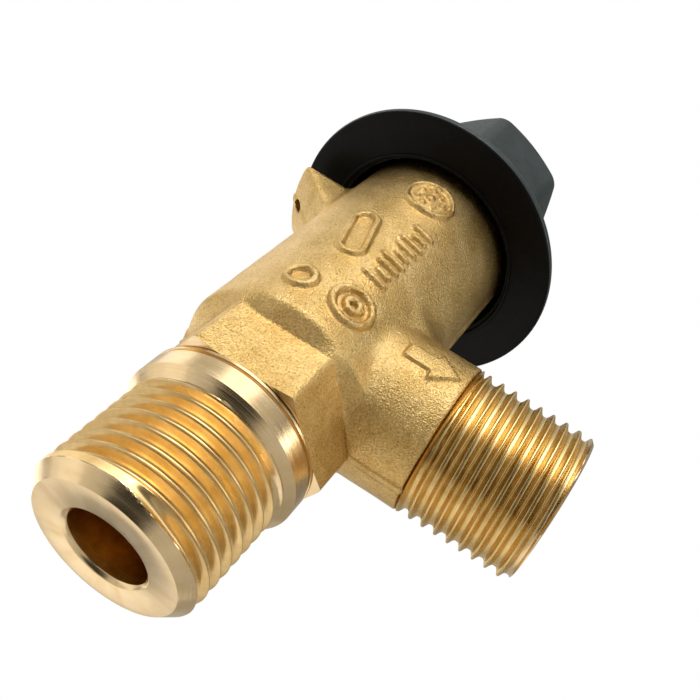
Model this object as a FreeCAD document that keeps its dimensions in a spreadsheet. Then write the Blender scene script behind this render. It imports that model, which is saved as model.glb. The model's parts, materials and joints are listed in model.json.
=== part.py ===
import FreeCAD, Part
import math
import os
import re
import Sketcher

# Direct spring-loaded pressure relief valve with a twist-to-lift knob.
# Units are millimetres. +Z runs from the inlet face up to the knob, +X is the outlet side,
# and the origin is the centre of the inlet's end face.

DIMENSIONS = {
    # pipe threads, G 1/2: crest and root radius, pitch, widths of the crest land and of one flank
    "crest_rad": 10.4775,
    "root_rad": 9.3155,
    "pitch": 1.814,
    "land": 0.36,
    "flank": 0.56,
    # joined pieces reach this far into each other
    "overlap": 1.0,
    # inlet end
    "inlet_bore_rad": 5.0,
    "countersink_rad": 5.5,
    "countersink_depth": 0.5,
    "inlet_face_rad": 9.0,
    "inlet_lead_rad": 10.15,
    "inlet_lead_top": 1.15,
    "inlet_lead_root": 1.6,
    "inlet_first_crest": 2.65,
    "inlet_relief_top": 15.0,
    # collar and hexagon
    "collar_rad": 11.5,
    "collar_low": 16.8,
    "hex_low": 19.8,
    "hex_high": 28.7,
    "hex_flats": 22.0,
    "hex_corner_rad": 12.56,
    "hex_bevel": 0.45,
    "hex_face_rad": 10.9,
    "hex_core_rad": 10.6,
    # barrel
    "shoulder_rad": 11.2,
    "shoulder_low": 27.4,
    "barrel_low": 29.5,
    "barrel_rad": 13.3,
    "barrel_top": 73.0,
    "barrel_mouth_bevel": 0.6,
    # outlet branch, distances along its own axis from the barrel's axis
    "outlet_height": 36.7,
    "branch_rad": 10.25,
    "branch_cast_end": 20.1,
    "branch_end": 20.6,
    "outlet_first_crest": 21.44,
    "outlet_end": 36.1,
    "outlet_lead": 0.9,
    "outlet_lead_rad": 10.1,
    "outlet_bevel": 0.5,
    "outlet_bore_rad": 6.25,
    "outlet_pocket_rad": 6.7,
    "outlet_pocket_end": 11.0,
    # seal-wire lug
    "lug_low": 57.6,
    "lug_tip_low": 63.9,
    "lug_top": 64.6,
    "lug_reach": 20.5,
    "lug_width": 12.0,
    "lug_hole_rad": 0.9,
    "lug_hole_reach": 18.6,
    # chambers inside the body
    "seat_rad": 7.2,
    "seat_lip_rad": 5.7,
    "seat_top": 31.0,
    "chamber_low": 29.5,
    "chamber_rad": 9.8,
    "ledge_height": 45.0,
    "spring_bore_rad": 11.2,
    # moving valve disc
    "contact_gap": 0.03,
    "seal_rad": 6.8,
    "seal_top": 34.0,
    "seal_hole_rad": 1.6,
    "seal_recess_rad": 3.7,
    "seal_washer_rad": 3.6,
    "seal_washer_thick": 0.6,
    "seal_screw_head_rad": 2.6,
    "seal_screw_head_thick": 1.0,
    "seal_screw_setback": 0.4,
    "seal_screw_slot_width": 0.8,
    "seal_screw_slot_depth": 0.7,
    "seal_screw_rad": 1.5,
    "seal_screw_top": 34.9,
    "holder_rad": 8.0,
    "holder_low": 31.8,
    "holder_top": 36.2,
    "holder_bevel": 0.6,
    "holder_neck_rad": 4.6,
    "holder_shoulder": 42.0,
    "holder_blind": 35.0,
    "fit_gap": 0.02,
    # diaphragm: a flat middle, a roll that hangs below it and a rim clamped on the body's ledge
    "rubber": 1.0,
    "plate_rad": 6.6,
    "plate_edge_rad": 6.7,
    "plate_thick": 1.2,
    "roll_low_rad": 7.7,
    "roll_low_drop": 0.5,
    "roll_high_rad": 9.3,
    "roll_high_drop": 0.9,
    "roll_top_low_rad": 7.6,
    "roll_top_low_rise": 0.6,
    "roll_top_high_rad": 8.3,
    "rim_low_rad": 9.4,
    "rim_top_rad": 8.9,
    "rim_outer_rad": 11.1,
    "rim_thick": 1.2,
    "clamp_ring_top": 48.4,
    "clamp_ring_hole_rad": 8.6,
    "clamp_ring_slot_width": 1.6,
    "clamp_ring_slot_depth": 1.2,
    "nut_flats": 9.0,
    "nut_corner_rad": 5.085,
    "nut_face_rad": 4.4,
    "nut_bevel": 0.4,
    "spring_plate_low": 49.0,
    "spring_plate_thick": 1.4,
    "spring_plate_rad": 10.3,
    "spring_plate_hub_rad": 6.6,
    "spring_plate_hub_top": 53.4,
    "spring_plate_hub_taper": 0.5,
    "clip_thick": 0.8,
    "clip_rad": 4.4,
    "clip_gap": 3.5,
    # spring
    "spring_wire": 2.0,
    "spring_mean_rad": 8.3,
    "spring_turns": 5.5,
    "spring_top": 64.4,
    "upper_plate_thick": 1.3,
    "upper_plate_hole_rad": 2.9,
    "upper_hub_drop": 1.6,
    "upper_hub_taper": 0.3,
    "ring_rad": 11.15,
    "adjuster_top": 70.2,
    "adjuster_socket_flats": 12.0,
    "adjuster_socket_depth": 2.4,
    "lock_ring_top": 71.9,
    "lock_ring_hole_rad": 7.6,
    "lock_ring_slot_width": 1.8,
    "lock_ring_slot_depth": 0.8,
    # stem
    "stem_rad": 2.5,
    "stem_low": 35.1,
    "stem_top": 84.0,
    "stem_bevel": 0.2,
    "running_gap": 0.06,
    # cam: the ramps rise cam_lift while the knob turns cam_turn degrees
    "cam_lift": 2.0,
    "cam_turn": 60.0,
    "cam_tooth_arc": 38.0,
    "cam_count": 3.0,
    "cam_inner_rad": 6.4,
    "cam_outer_rad": 12.2,
    "cam_base": 74.2,
    "cam_gap": 0.06,
    "cam_root": 0.5,
    "cam_spigot_low": 71.95,
    "cam_hole_rad": 5.2,
    # knob
    "knob_low": 67.8,
    "flange_top": 69.4,
    "flange_rad": 21.2,
    "flange_edge": 0.5,
    "recess_rad": 14.2,
    "recess_top": 78.0,
    "lip_rad": 15.3,
    "lip_drop": 0.3,
    "lip_edge": 0.2,
    "skirt_rad": 16.0,
    "skirt_foot": 0.8,
    "skirt_top": 77.6,
    "cone_rad": 12.6,
    "cone_top": 83.4,
    "grip_flats": 22.9,
    "grip_top": 95.6,
    "grip_bevel": 1.4,
    "grip_face_rad": 10.9,
    "grip_corner_rad": 12.75,
    "grip_angle": -96.0,
    "grip_bore_rad": 7.0,
    "web_top": 83.0,
    "insert_plate_rad": 12.8,
    "insert_plate_top": 80.0,
    "insert_hub_rad": 4.6,
    "insert_hub_top": 83.95,
    "knob_washer_rad": 6.2,
    "knob_washer_top": 84.9,
    "knob_screw_rad": 1.5,
    "knob_screw_head_rad": 3.1,
    "knob_screw_head_top": 87.1,
    "knob_screw_crown": 0.7,
    "knob_screw_face_rad": 2.2,
    "knob_screw_low": 75.0,
    "screw_slot_width": 1.0,
    "screw_slot_depth": 1.0,
    "cap_low": 92.4,
    "cap_edge_drop": 0.3,
    "cap_face_rad": 6.5,
    "cap_dome": 0.5,
}

# a cut that takes away less than this volume has missed
LEAST_CUT = 1e-3

doc = FreeCAD.newDocument("relief_valve")
sheet = doc.addObject("Spreadsheet::Sheet", "dims")
nodes = []


def fill_sheet():
    """Write every driving dimension to a row of the sheet and give its cell an alias."""
    for row, (word, value) in enumerate(DIMENSIONS.items(), start=1):
        sheet.set("A%d" % row, word)
        sheet.set("B%d" % row, str(value))
        sheet.setAlias("B%d" % row, word)
    doc.recompute()


def bound(text):
    """Turn a formula of plain aliases into one that names the sheet."""
    return re.sub(r"[a-z_]+", r"dims.\g<0>", str(text))


def value(text):
    """The number that a formula of aliases has now."""
    return float(sheet.evalExpression(bound(text)))


def bind(thing, **formulas):
    """Bind properties of a document object to formulas of the sheet."""
    for prop, text in formulas.items():
        thing.setExpression(prop, bound(text))
    return thing


def node(name, thing):
    """Register a finished sub-part under its own name."""
    thing.Label = name
    nodes.append(thing)
    return thing


def origin_feature(body, role):
    """One of a body's own origin planes or axes."""
    return next(f for f in body.Origin.OriginFeatures if f.Role == role)


def pin_vertex(sketch, geo, text, vertical):
    """Hold the start of a sketch line at a distance from the sketch's origin."""
    if str(text) == "0":
        sketch.addConstraint(Sketcher.Constraint("PointOnObject", geo, 1, -1 if vertical else -2))
        return
    kind = "DistanceY" if vertical else "DistanceX"
    index = sketch.addConstraint(Sketcher.Constraint(kind, -1, 1, geo, 1, value(text)))
    sketch.setExpression("Constraints[%d]" % index, bound(text))


def outline_sketch(body, name, corners, plane):
    """A closed polygon whose corners are (x, y) formulas, in a sketch of the given plane."""
    sketch = body.newObject("Sketcher::SketchObject", name)
    sketch.AttachmentSupport = [(origin_feature(body, plane), "")]
    sketch.MapMode = "FlatFace"
    points = [FreeCAD.Vector(value(x), value(y), 0) for x, y in corners]
    count = len(points)
    for i in range(count):
        sketch.addGeometry(Part.LineSegment(points[i], points[(i + 1) % count]), False)
    for i in range(count):
        sketch.addConstraint(Sketcher.Constraint("Coincident", i, 2, (i + 1) % count, 1))
    for i, (x, y) in enumerate(corners):
        pin_vertex(sketch, i, x, False)
        pin_vertex(sketch, i, y, True)
    return sketch


def turned(name, profile):
    """A body turned about +Z from a profile of (radius, height) formulas."""
    body = doc.addObject("PartDesign::Body", name)
    sketch = outline_sketch(body, name + "_profile", profile, "XZ_Plane")
    doc.recompute()
    spin = body.newObject("PartDesign::Revolution", name + "_turning")
    spin.Profile = sketch
    spin.ReferenceAxis = (sketch, ["V_Axis"])
    spin.Angle = 360.0
    sketch.Visibility = False
    return body


def tube(name, outer, inner, low, high):
    """A plain ring."""
    return turned(name, [(inner, low), (outer, low), (outer, high), (inner, high)])


def disc(name, outer, low, high):
    """A plain round bar."""
    return turned(name, [("0", low), (outer, low), (outer, high), ("0", high)])


def prism(name, flats, low, high):
    """A hexagonal bar with corners at 0, 60, 120 degrees, given across its flats."""
    bar = doc.addObject("Part::Prism", name)
    bar.Polygon = 6
    bind(bar, Circumradius="(%s) / 2 / %.9f" % (flats, math.cos(math.pi / 6)))
    bind(bar, Height="(%s) - (%s)" % (high, low))
    bar.setExpression("Placement.Base.z", bound(low))
    return bar


def block(name, size, corner):
    """A box from its three lengths and its low corner, all formulas."""
    box = doc.addObject("Part::Box", name)
    bind(box, Length=size[0], Width=size[1], Height=size[2])
    for axis, text in zip("xyz", corner):
        box.setExpression("Placement.Base." + axis, bound(text))
    return box


def cut(name, base, *tools):
    """Take tools away from a base, and stop if any of them misses it."""
    for tool in tools:
        step = doc.addObject("Part::Cut", "%s_less_%s" % (name, tool.Name))
        step.Base = base
        step.Tool = tool
        doc.recompute()
        if step.Shape.Volume > base.Shape.Volume - LEAST_CUT:
            raise RuntimeError("%s is not cut by %s" % (name, tool.Name))
        base = step
    return base


def fuse(name, *pieces):
    """Join pieces into one solid."""
    joined = doc.addObject("Part::MultiFuse", name)
    joined.Shapes = list(pieces)
    joined.Refine = True
    return joined


def common(name, base, tool):
    """What two solids share."""
    shared = doc.addObject("Part::Common", name)
    shared.Base = base
    shared.Tool = tool
    return shared


def thread_profile(first_crest, count):
    """Profile corners of a row of thread crests, each a land between two flanks."""
    corners = []
    for i in range(count):
        middle = "%s + %d * pitch" % (first_crest, i)
        corners.append(("root_rad", middle + " - land / 2 - flank"))
        corners.append(("crest_rad", middle + " - land / 2"))
        corners.append(("crest_rad", middle + " + land / 2"))
        corners.append(("root_rad", middle + " + land / 2 + flank"))
    return corners


# ---------------------------------------------------------------------------------- valve body

INLET_CRESTS = 7
OUTLET_CRESTS = 8


def body_bar():
    """Inlet thread, collar, core of the hexagon, shoulder and barrel, turned in one."""
    profile = [
        ("0", "0"),
        ("inlet_face_rad", "0"),
        ("inlet_lead_rad", "inlet_lead_top"),
        ("root_rad", "inlet_lead_root"),
    ]
    profile += thread_profile("inlet_first_crest", INLET_CRESTS)
    profile += [
        ("root_rad", "inlet_relief_top"),
        ("collar_rad", "collar_low"),
        ("collar_rad", "hex_low"),
        ("hex_core_rad", "hex_low"),
        ("hex_core_rad", "shoulder_low"),
        ("shoulder_rad", "shoulder_low"),
        ("barrel_rad", "barrel_low"),
        ("barrel_rad", "barrel_top - barrel_mouth_bevel"),
        ("barrel_rad - barrel_mouth_bevel", "barrel_top"),
        ("0", "barrel_top"),
    ]
    return turned("body_bar", profile)


def bevelled_hexagon(name, flats, corner, low, high, face, bevel_low=None, bevel_high=None):
    """A hexagon turned off to a corner radius, its ends bevelled down to a face radius."""
    bar = prism(name + "_bar", flats, low, high)
    limit = [("0", low), (corner, low), (corner, high), ("0", high)]
    if bevel_high:
        limit[2:3] = [(corner, "(%s) - (%s)" % (high, bevel_high)), (face, high)]
    if bevel_low:
        limit[1:2] = [(face, low), (corner, "(%s) + (%s)" % (low, bevel_low))]
    return common(name, bar, turned(name + "_limit", limit))


def outlet_branch():
    """Cast branch and outlet thread, turned about the outlet's axis and laid along +X."""
    profile = [("0", "0"), ("branch_rad", "0"), ("branch_rad", "branch_cast_end"), ("root_rad", "branch_end")]
    profile += thread_profile("outlet_first_crest", OUTLET_CRESTS)
    profile += [
        ("root_rad", "outlet_end - outlet_lead"),
        ("outlet_lead_rad", "outlet_end - outlet_bevel"),
        ("outlet_lead_rad - outlet_bevel", "outlet_end"),
        ("0", "outlet_end"),
    ]
    return lay_along_x(turned("outlet_branch", profile))


def lay_along_x(body):
    """Turn a body from +Z to +X and lift it to the outlet's height."""
    body.Placement = FreeCAD.Placement(FreeCAD.Vector(0, 0, value("outlet_height")),
                                       FreeCAD.Rotation(FreeCAD.Vector(0, 1, 0), 90))
    body.setExpression("Placement.Base.z", bound("outlet_height"))
    return body


def seal_lug():
    """A conical web that carries the hole for the seal wire, on the side away from the outlet."""
    web = turned("lug_web", [
        ("0", "lug_low - overlap"),
        ("barrel_rad - overlap", "lug_low - overlap"),
        ("lug_reach", "lug_tip_low"),
        ("lug_reach", "lug_top"),
        ("0", "lug_top"),
    ])
    keep = block("lug_keep",
                 ("lug_reach", "lug_width", "lug_top - lug_low + overlap"),
                 ("-lug_reach", "-lug_width / 2", "lug_low - overlap"))
    return common("seal_lug", web, keep)


def bar_hole(name, radius, low, high, reach):
    """A round tool parallel to Z, at a distance along -X."""
    tool = doc.addObject("Part::Cylinder", name)
    bind(tool, Radius=radius, Height="(%s) - (%s)" % (high, low))
    tool.setExpression("Placement.Base.x", bound("-(%s)" % reach))
    tool.setExpression("Placement.Base.z", bound(low))
    return tool


def make_valve_body():
    hexagon = bevelled_hexagon("body_hexagon", "hex_flats", "hex_corner_rad", "hex_low", "hex_high",
                               "hex_face_rad", bevel_low="hex_bevel")
    solid = fuse("body_solid", body_bar(), hexagon, outlet_branch(), seal_lug())
    passage = turned("inlet_passage", [
        ("0", "0"),
        ("countersink_rad", "0"),
        ("inlet_bore_rad", "countersink_depth"),
        ("inlet_bore_rad", "chamber_low"),
        ("0", "chamber_low"),
    ])
    chambers = turned("body_chambers", [
        ("inlet_bore_rad", "chamber_low - overlap"),
        ("inlet_bore_rad", "seat_top"),
        ("seat_lip_rad", "seat_top"),
        ("seat_rad", "chamber_low"),
        ("chamber_rad", "chamber_low"),
        ("chamber_rad", "ledge_height"),
        ("spring_bore_rad", "ledge_height"),
        ("spring_bore_rad", "barrel_top"),
        ("0", "barrel_top"),
        ("0", "chamber_low - overlap"),
    ])
    outlet = lay_along_x(turned("outlet_passage", [
        ("0", "outlet_bore_rad"),
        ("outlet_pocket_rad", "outlet_bore_rad"),
        ("outlet_pocket_rad", "outlet_pocket_end"),
        ("outlet_bore_rad", "outlet_pocket_end"),
        ("outlet_bore_rad", "outlet_end"),
        ("0", "outlet_end"),
    ]))
    hole = bar_hole("lug_hole", "lug_hole_rad", "lug_low", "lug_top", "lug_hole_reach")
    node("valve_body", cut("body", solid, passage, chambers, outlet, hole))


# ---------------------------------------------------------------------------- valve disc and diaphragm


def make_disc_parts():
    seal_low = "seat_top + contact_gap"
    screw_low = seal_low + " + seal_screw_setback"
    washer_low = screw_low + " + seal_screw_head_thick"
    washer_top = washer_low + " + seal_washer_thick"
    seal = turned("seat_seal", [
        ("seal_recess_rad", seal_low),
        ("seal_rad", seal_low),
        ("seal_rad", "seal_top"),
        ("seal_hole_rad", "seal_top"),
        ("seal_hole_rad", washer_top),
        ("seal_recess_rad", washer_top),
    ])
    node("seat_seal", seal)
    node("seal_washer", tube("seal_washer", "seal_washer_rad", "seal_hole_rad", washer_low, washer_top))
    screw = turned("seal_screw_bar", [
        ("0", screw_low),
        ("seal_screw_head_rad", screw_low),
        ("seal_screw_head_rad", washer_low),
        ("seal_screw_rad", washer_low),
        ("seal_screw_rad", "seal_screw_top"),
        ("0", "seal_screw_top"),
    ])
    slot = block("seal_screw_slot",
                 ("seal_screw_head_rad * 2", "seal_screw_slot_width", "seal_screw_slot_depth"),
                 ("-seal_screw_head_rad", "-seal_screw_slot_width / 2", screw_low))
    node("seal_screw", cut("seal_screw", screw, slot))
    holder = turned("disc_holder", [
        ("seal_screw_rad + fit_gap", "seal_top"),
        ("seal_rad + fit_gap", "seal_top"),
        ("seal_rad + fit_gap", "holder_low"),
        ("holder_rad", "holder_low"),
        ("holder_rad", "holder_top - holder_bevel"),
        ("holder_rad - holder_bevel", "holder_top"),
        ("holder_neck_rad", "holder_top"),
        ("holder_neck_rad", "holder_shoulder"),
        ("stem_rad + fit_gap", "holder_shoulder"),
        ("stem_rad + fit_gap", "holder_blind"),
        ("seal_screw_rad + fit_gap", "holder_blind"),
    ])
    node("disc_holder", holder)


def make_diaphragm_parts():
    low = "holder_shoulder + contact_gap"
    hole = "stem_rad + running_gap"
    shape = turned("diaphragm", [
        (hole, low),
        ("plate_rad", low),
        ("roll_low_rad", low + " - roll_low_drop"),
        ("roll_high_rad", "ledge_height - roll_high_drop"),
        ("rim_low_rad", "ledge_height + contact_gap"),
        ("rim_outer_rad", "ledge_height + contact_gap"),
        ("rim_outer_rad", "ledge_height + rim_thick"),
        ("rim_top_rad", "ledge_height + rim_thick"),
        ("roll_top_high_rad", "ledge_height"),
        ("roll_top_low_rad", low + " + roll_top_low_rise"),
        ("plate_edge_rad", low + " + rubber"),
        (hole, low + " + rubber"),
    ])
    node("diaphragm", shape)
    plate_low = low + " + rubber + contact_gap"
    nut_low = plate_low + " + plate_thick"
    node("diaphragm_plate", tube("diaphragm_plate", "plate_rad", "stem_rad + fit_gap", plate_low, nut_low))
    nut_bar = bevelled_hexagon("nut_hexagon", "nut_flats", "nut_corner_rad", nut_low, "spring_plate_low",
                               "nut_face_rad", "nut_bevel", "nut_bevel")
    nut_bore = disc("nut_bore", "stem_rad + fit_gap", nut_low, "spring_plate_low")
    node("diaphragm_nut", cut("nut", nut_bar, nut_bore))
    ring_low = "ledge_height + rim_thick + contact_gap"
    ring = tube("clamp_ring_bar", "ring_rad", "clamp_ring_hole_rad", ring_low, "clamp_ring_top")
    slot = block("clamp_ring_slots",
                 ("2 * ring_rad", "clamp_ring_slot_width", "clamp_ring_slot_depth"),
                 ("-ring_rad", "-clamp_ring_slot_width / 2", "clamp_ring_top - clamp_ring_slot_depth"))
    node("diaphragm_clamp_ring", cut("clamp_ring", ring, slot))


# ------------------------------------------------------------------------------------- spring chamber


def make_spring():
    """Helical wire between its two plates, ground flat at both ends."""
    low = value("spring_plate_low + spring_plate_thick + contact_gap")
    high = value("spring_top - contact_gap")
    wire = value("spring_wire")
    radius = value("spring_mean_rad")
    pitch = (high - low - wire) / value("spring_turns")
    height = high - low
    path = Part.Wire(Part.makeHelix(pitch, height, radius).Edges)
    start = FreeCAD.Vector(radius, 0, 0)
    slope = FreeCAD.Vector(0, 2 * math.pi * radius, pitch)
    section = Part.Wire(Part.Circle(start, slope, wire / 2).toShape())
    coil = path.makePipeShell([section], True, True)
    coil.translate(FreeCAD.Vector(0, 0, low))
    shell = Part.makeCylinder(radius + wire, height, FreeCAD.Vector(0, 0, low))
    spring = doc.addObject("Part::Feature", "pressure_spring")
    spring.Shape = coil.common(shell)
    spring.Placement = FreeCAD.Placement()
    node("pressure_spring", spring)


def make_spring_plates():
    low = "spring_plate_low"
    top = "spring_plate_low + spring_plate_thick"
    hole = "stem_rad + fit_gap"
    node("lower_spring_plate", turned("lower_spring_plate", [
        (hole, low),
        ("spring_plate_rad", low),
        ("spring_plate_rad", top),
        ("spring_plate_hub_rad", top),
        ("spring_plate_hub_rad - spring_plate_hub_taper", "spring_plate_hub_top"),
        (hole, "spring_plate_hub_top"),
    ]))
    clip_low = "spring_plate_hub_top"
    clip = tube("spring_clip_bar", "clip_rad", hole, clip_low, clip_low + " + clip_thick")
    gap = block("spring_clip_gap", ("clip_rad", "clip_gap", "clip_thick"), ("0", "-clip_gap / 2", clip_low))
    node("spring_plate_clip", cut("spring_clip", clip, gap))
    upper_top = "spring_top + upper_plate_thick"
    node("upper_spring_plate", turned("upper_spring_plate", [
        ("upper_plate_hole_rad", "spring_top - upper_hub_drop"),
        ("spring_plate_hub_rad - upper_hub_taper", "spring_top - upper_hub_drop"),
        ("spring_plate_hub_rad", "spring_top"),
        ("spring_plate_rad", "spring_top"),
        ("spring_plate_rad", upper_top),
        ("upper_plate_hole_rad", upper_top),
    ]))
    nut_bar = turned("adjusting_nut_bar", [
        ("stem_rad + running_gap", upper_top),
        ("ring_rad", upper_top),
        ("ring_rad", "adjuster_top"),
        ("stem_rad + running_gap", "adjuster_top"),
    ])
    socket_low = "adjuster_top - adjuster_socket_depth"
    socket = prism("adjusting_nut_socket", "adjuster_socket_flats", socket_low, "adjuster_top")
    node("adjusting_nut", cut("adjusting_nut", nut_bar, socket))
    ring = tube("lock_ring_bar", "ring_rad", "lock_ring_hole_rad", "adjuster_top", "lock_ring_top")
    slot = block("lock_ring_slots",
                 ("2 * ring_rad", "lock_ring_slot_width", "lock_ring_slot_depth"),
                 ("-ring_rad", "-lock_ring_slot_width / 2", "lock_ring_top - lock_ring_slot_depth"))
    node("lock_ring", cut("lock_ring", ring, slot))


def make_stem():
    bar = turned("stem_bar", [
        ("0", "stem_low"),
        ("stem_rad", "stem_low"),
        ("stem_rad", "stem_top - stem_bevel"),
        ("stem_rad - stem_bevel", "stem_top"),
        ("0", "stem_top"),
    ])
    bore = disc("stem_tapping", "knob_screw_rad + fit_gap", "knob_screw_low - overlap", "stem_top")
    node("stem", cut("stem", bar, bore))


# ------------------------------------------------------------------------------------------ cam and knob


def helix_wedge(arc, start, low, level):
    """A ring sector between the cam's helical face, which rises from height low, and a flat level."""
    outer = value("cam_outer_rad")
    pitch = value("cam_lift") * 360 / value("cam_turn")
    rise = pitch * arc / 360
    edges = [Part.makeHelix(pitch, rise, radius).Edges[0] for radius in (value("cam_inner_rad"), outer)]
    ramp = Part.makeRuledSurface(edges[0], edges[1])
    ramp.translate(FreeCAD.Vector(0, 0, low))
    ramp.rotate(FreeCAD.Vector(), FreeCAD.Vector(0, 0, 1), start)
    reach = level - low if level > low else level - low - rise
    column = ramp.extrude(FreeCAD.Vector(0, 0, reach))
    keep = Part.makeCylinder(outer + value("overlap"), abs(reach), FreeCAD.Vector(0, 0, min(low, level)))
    return column.common(keep)


def cam_starts():
    """The angles at which the cam's faces begin."""
    count = int(value("cam_count"))
    return [i * 360.0 / count for i in range(count)]


def wedge_feature(name, solids):
    """A document object that holds the cam's wedges."""
    feature = doc.addObject("Part::Feature", name)
    feature.Shape = Part.makeCompound(solids)
    feature.Placement = FreeCAD.Placement()
    return feature


def make_cam_ring():
    base = turned("cam_ring_base", [
        ("cam_hole_rad", "cam_spigot_low"),
        ("ring_rad", "cam_spigot_low"),
        ("ring_rad", "barrel_top"),
        ("cam_outer_rad", "barrel_top"),
        ("cam_outer_rad", "cam_base"),
        ("cam_hole_rad", "cam_base"),
    ])
    low = value("cam_base")
    floor = value("cam_base - cam_root")
    arc = value("cam_turn + cam_tooth_arc")
    ramps = wedge_feature("cam_ramps", [helix_wedge(arc, start, low, floor) for start in cam_starts()])
    node("cam_ring", fuse("cam_ring_solid", base, ramps))


def make_knob_insert():
    low = value("cam_base + cam_gap")
    ceiling = value("recess_top + cam_root")
    arc = value("cam_tooth_arc")
    teeth = wedge_feature("cam_teeth", [helix_wedge(arc, start, low, ceiling) for start in cam_starts()])
    plate = turned("insert_plate", [
        ("stem_rad + running_gap", "recess_top"),
        ("insert_plate_rad", "recess_top"),
        ("insert_plate_rad", "insert_plate_top"),
        ("insert_hub_rad", "insert_plate_top"),
        ("insert_hub_rad", "insert_hub_top"),
        ("stem_rad + running_gap", "insert_hub_top"),
    ])
    node("knob_insert", fuse("knob_insert_solid", plate, teeth))


def make_knob():
    shell = turned("knob_shell", [
        ("0", "knob_low"),
        ("recess_rad", "knob_low"),
        ("recess_rad + lip_edge", "knob_low - lip_drop"),
        ("lip_rad - lip_edge", "knob_low - lip_drop"),
        ("lip_rad", "knob_low"),
        ("flange_rad - flange_edge", "knob_low"),
        ("flange_rad", "knob_low + flange_edge"),
        ("flange_rad", "flange_top - flange_edge"),
        ("flange_rad - flange_edge", "flange_top"),
        ("skirt_rad + skirt_foot", "flange_top"),
        ("skirt_rad", "flange_top + skirt_foot"),
        ("skirt_rad", "skirt_top"),
        ("cone_rad", "cone_top"),
        ("0", "cone_top"),
    ])
    grip = bevelled_hexagon("knob_grip", "grip_flats", "grip_corner_rad", "recess_top", "grip_top",
                            "grip_face_rad", bevel_high="grip_bevel")
    axis = FreeCAD.Vector(0, 0, 1)
    grip.Placement = FreeCAD.Placement(FreeCAD.Vector(), FreeCAD.Rotation(axis, value("grip_angle")))
    solid = fuse("knob_solid", shell, grip)
    hollow = turned("knob_hollow", [
        ("0", "knob_low - overlap"),
        ("recess_rad", "knob_low - overlap"),
        ("recess_rad", "recess_top"),
        ("insert_plate_rad + fit_gap", "recess_top"),
        ("insert_plate_rad + fit_gap", "insert_plate_top"),
        ("insert_hub_rad + fit_gap", "insert_plate_top"),
        ("insert_hub_rad + fit_gap", "web_top"),
        ("grip_bore_rad", "web_top"),
        ("grip_bore_rad", "grip_top"),
        ("0", "grip_top"),
    ])
    node("knob", cut("knob", solid, hollow))


def make_knob_fasteners():
    hole = "knob_screw_rad + fit_gap"
    node("knob_washer", tube("knob_washer", "knob_washer_rad", hole, "stem_top", "knob_washer_top"))
    bar = turned("knob_screw_bar", [
        ("0", "knob_screw_low"),
        ("knob_screw_rad", "knob_screw_low"),
        ("knob_screw_rad", "knob_washer_top"),
        ("knob_screw_head_rad", "knob_washer_top"),
        ("knob_screw_head_rad", "knob_screw_head_top - knob_screw_crown"),
        ("knob_screw_face_rad", "knob_screw_head_top"),
        ("0", "knob_screw_head_top"),
    ])
    slot = block("knob_screw_slot",
                 ("2 * knob_screw_head_rad", "screw_slot_width", "screw_slot_depth"),
                 ("-knob_screw_head_rad", "-screw_slot_width / 2", "knob_screw_head_top - screw_slot_depth"))
    node("knob_screw", cut("knob_screw", bar, slot))
    node("knob_cap", turned("knob_cap", [
        ("0", "cap_low"),
        ("grip_bore_rad - fit_gap", "cap_low"),
        ("grip_bore_rad - fit_gap", "grip_top - cap_edge_drop"),
        ("cap_face_rad", "grip_top + cap_dome - cap_edge_drop"),
        ("0", "grip_top + cap_dome"),
    ]))


def check_and_export():
    """Stop on any failed object, then write one file for each sub-part."""
    doc.recompute()
    for thing in doc.Objects:
        if "Invalid" in thing.State or "Error" in thing.State:
            raise RuntimeError("%s failed: %s" % (thing.Name, thing.State))
    os.makedirs("parts", exist_ok=True)
    for thing in nodes:
        shape = thing.Shape
        if shape.isNull() or not shape.isValid() or not shape.Solids:
            raise RuntimeError("%s has no valid solid" % thing.Label)
        shape.exportStep("parts/%s.step" % thing.Label)
        print("%-22s solids %d  volume %9.2f" % (thing.Label, len(shape.Solids), shape.Volume))


fill_sheet()
make_valve_body()
make_disc_parts()
make_diaphragm_parts()
make_spring()
make_spring_plates()
make_stem()
make_cam_ring()
make_knob_insert()
make_knob()
make_knob_fasteners()
check_and_export()
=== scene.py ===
import json
import math

import bmesh
import bpy
import numpy as np
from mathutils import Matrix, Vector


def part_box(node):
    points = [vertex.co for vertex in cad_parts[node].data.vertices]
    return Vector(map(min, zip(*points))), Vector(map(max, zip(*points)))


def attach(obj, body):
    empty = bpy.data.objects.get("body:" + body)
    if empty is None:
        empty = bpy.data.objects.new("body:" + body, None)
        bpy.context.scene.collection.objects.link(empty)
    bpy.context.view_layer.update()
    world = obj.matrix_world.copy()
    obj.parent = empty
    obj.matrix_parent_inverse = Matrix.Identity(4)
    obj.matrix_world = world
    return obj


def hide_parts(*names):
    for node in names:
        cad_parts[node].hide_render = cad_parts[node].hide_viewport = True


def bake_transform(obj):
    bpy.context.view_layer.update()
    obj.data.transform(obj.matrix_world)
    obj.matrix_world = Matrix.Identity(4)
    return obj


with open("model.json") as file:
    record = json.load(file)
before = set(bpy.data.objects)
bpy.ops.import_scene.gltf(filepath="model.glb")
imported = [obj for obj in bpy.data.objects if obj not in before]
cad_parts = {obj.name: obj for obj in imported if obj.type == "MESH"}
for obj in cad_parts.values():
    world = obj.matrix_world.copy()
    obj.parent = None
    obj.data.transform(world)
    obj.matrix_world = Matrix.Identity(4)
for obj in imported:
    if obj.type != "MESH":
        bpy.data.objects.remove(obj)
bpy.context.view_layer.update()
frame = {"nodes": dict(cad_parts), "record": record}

import openvdb
from mathutils import Euler, Vector

# Pressure relief valve. The shapes below are worked out in millimetres, in the frame of the CAD
# model: +Z from the inlet up to the knob, +X along the outlet, origin at the inlet's end face.

MM = 0.001


def box_mm(node):
    """Lowest and highest corner of a CAD node, in millimetres."""
    low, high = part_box(node)
    return np.array(low) / MM, np.array(high) / MM


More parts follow.
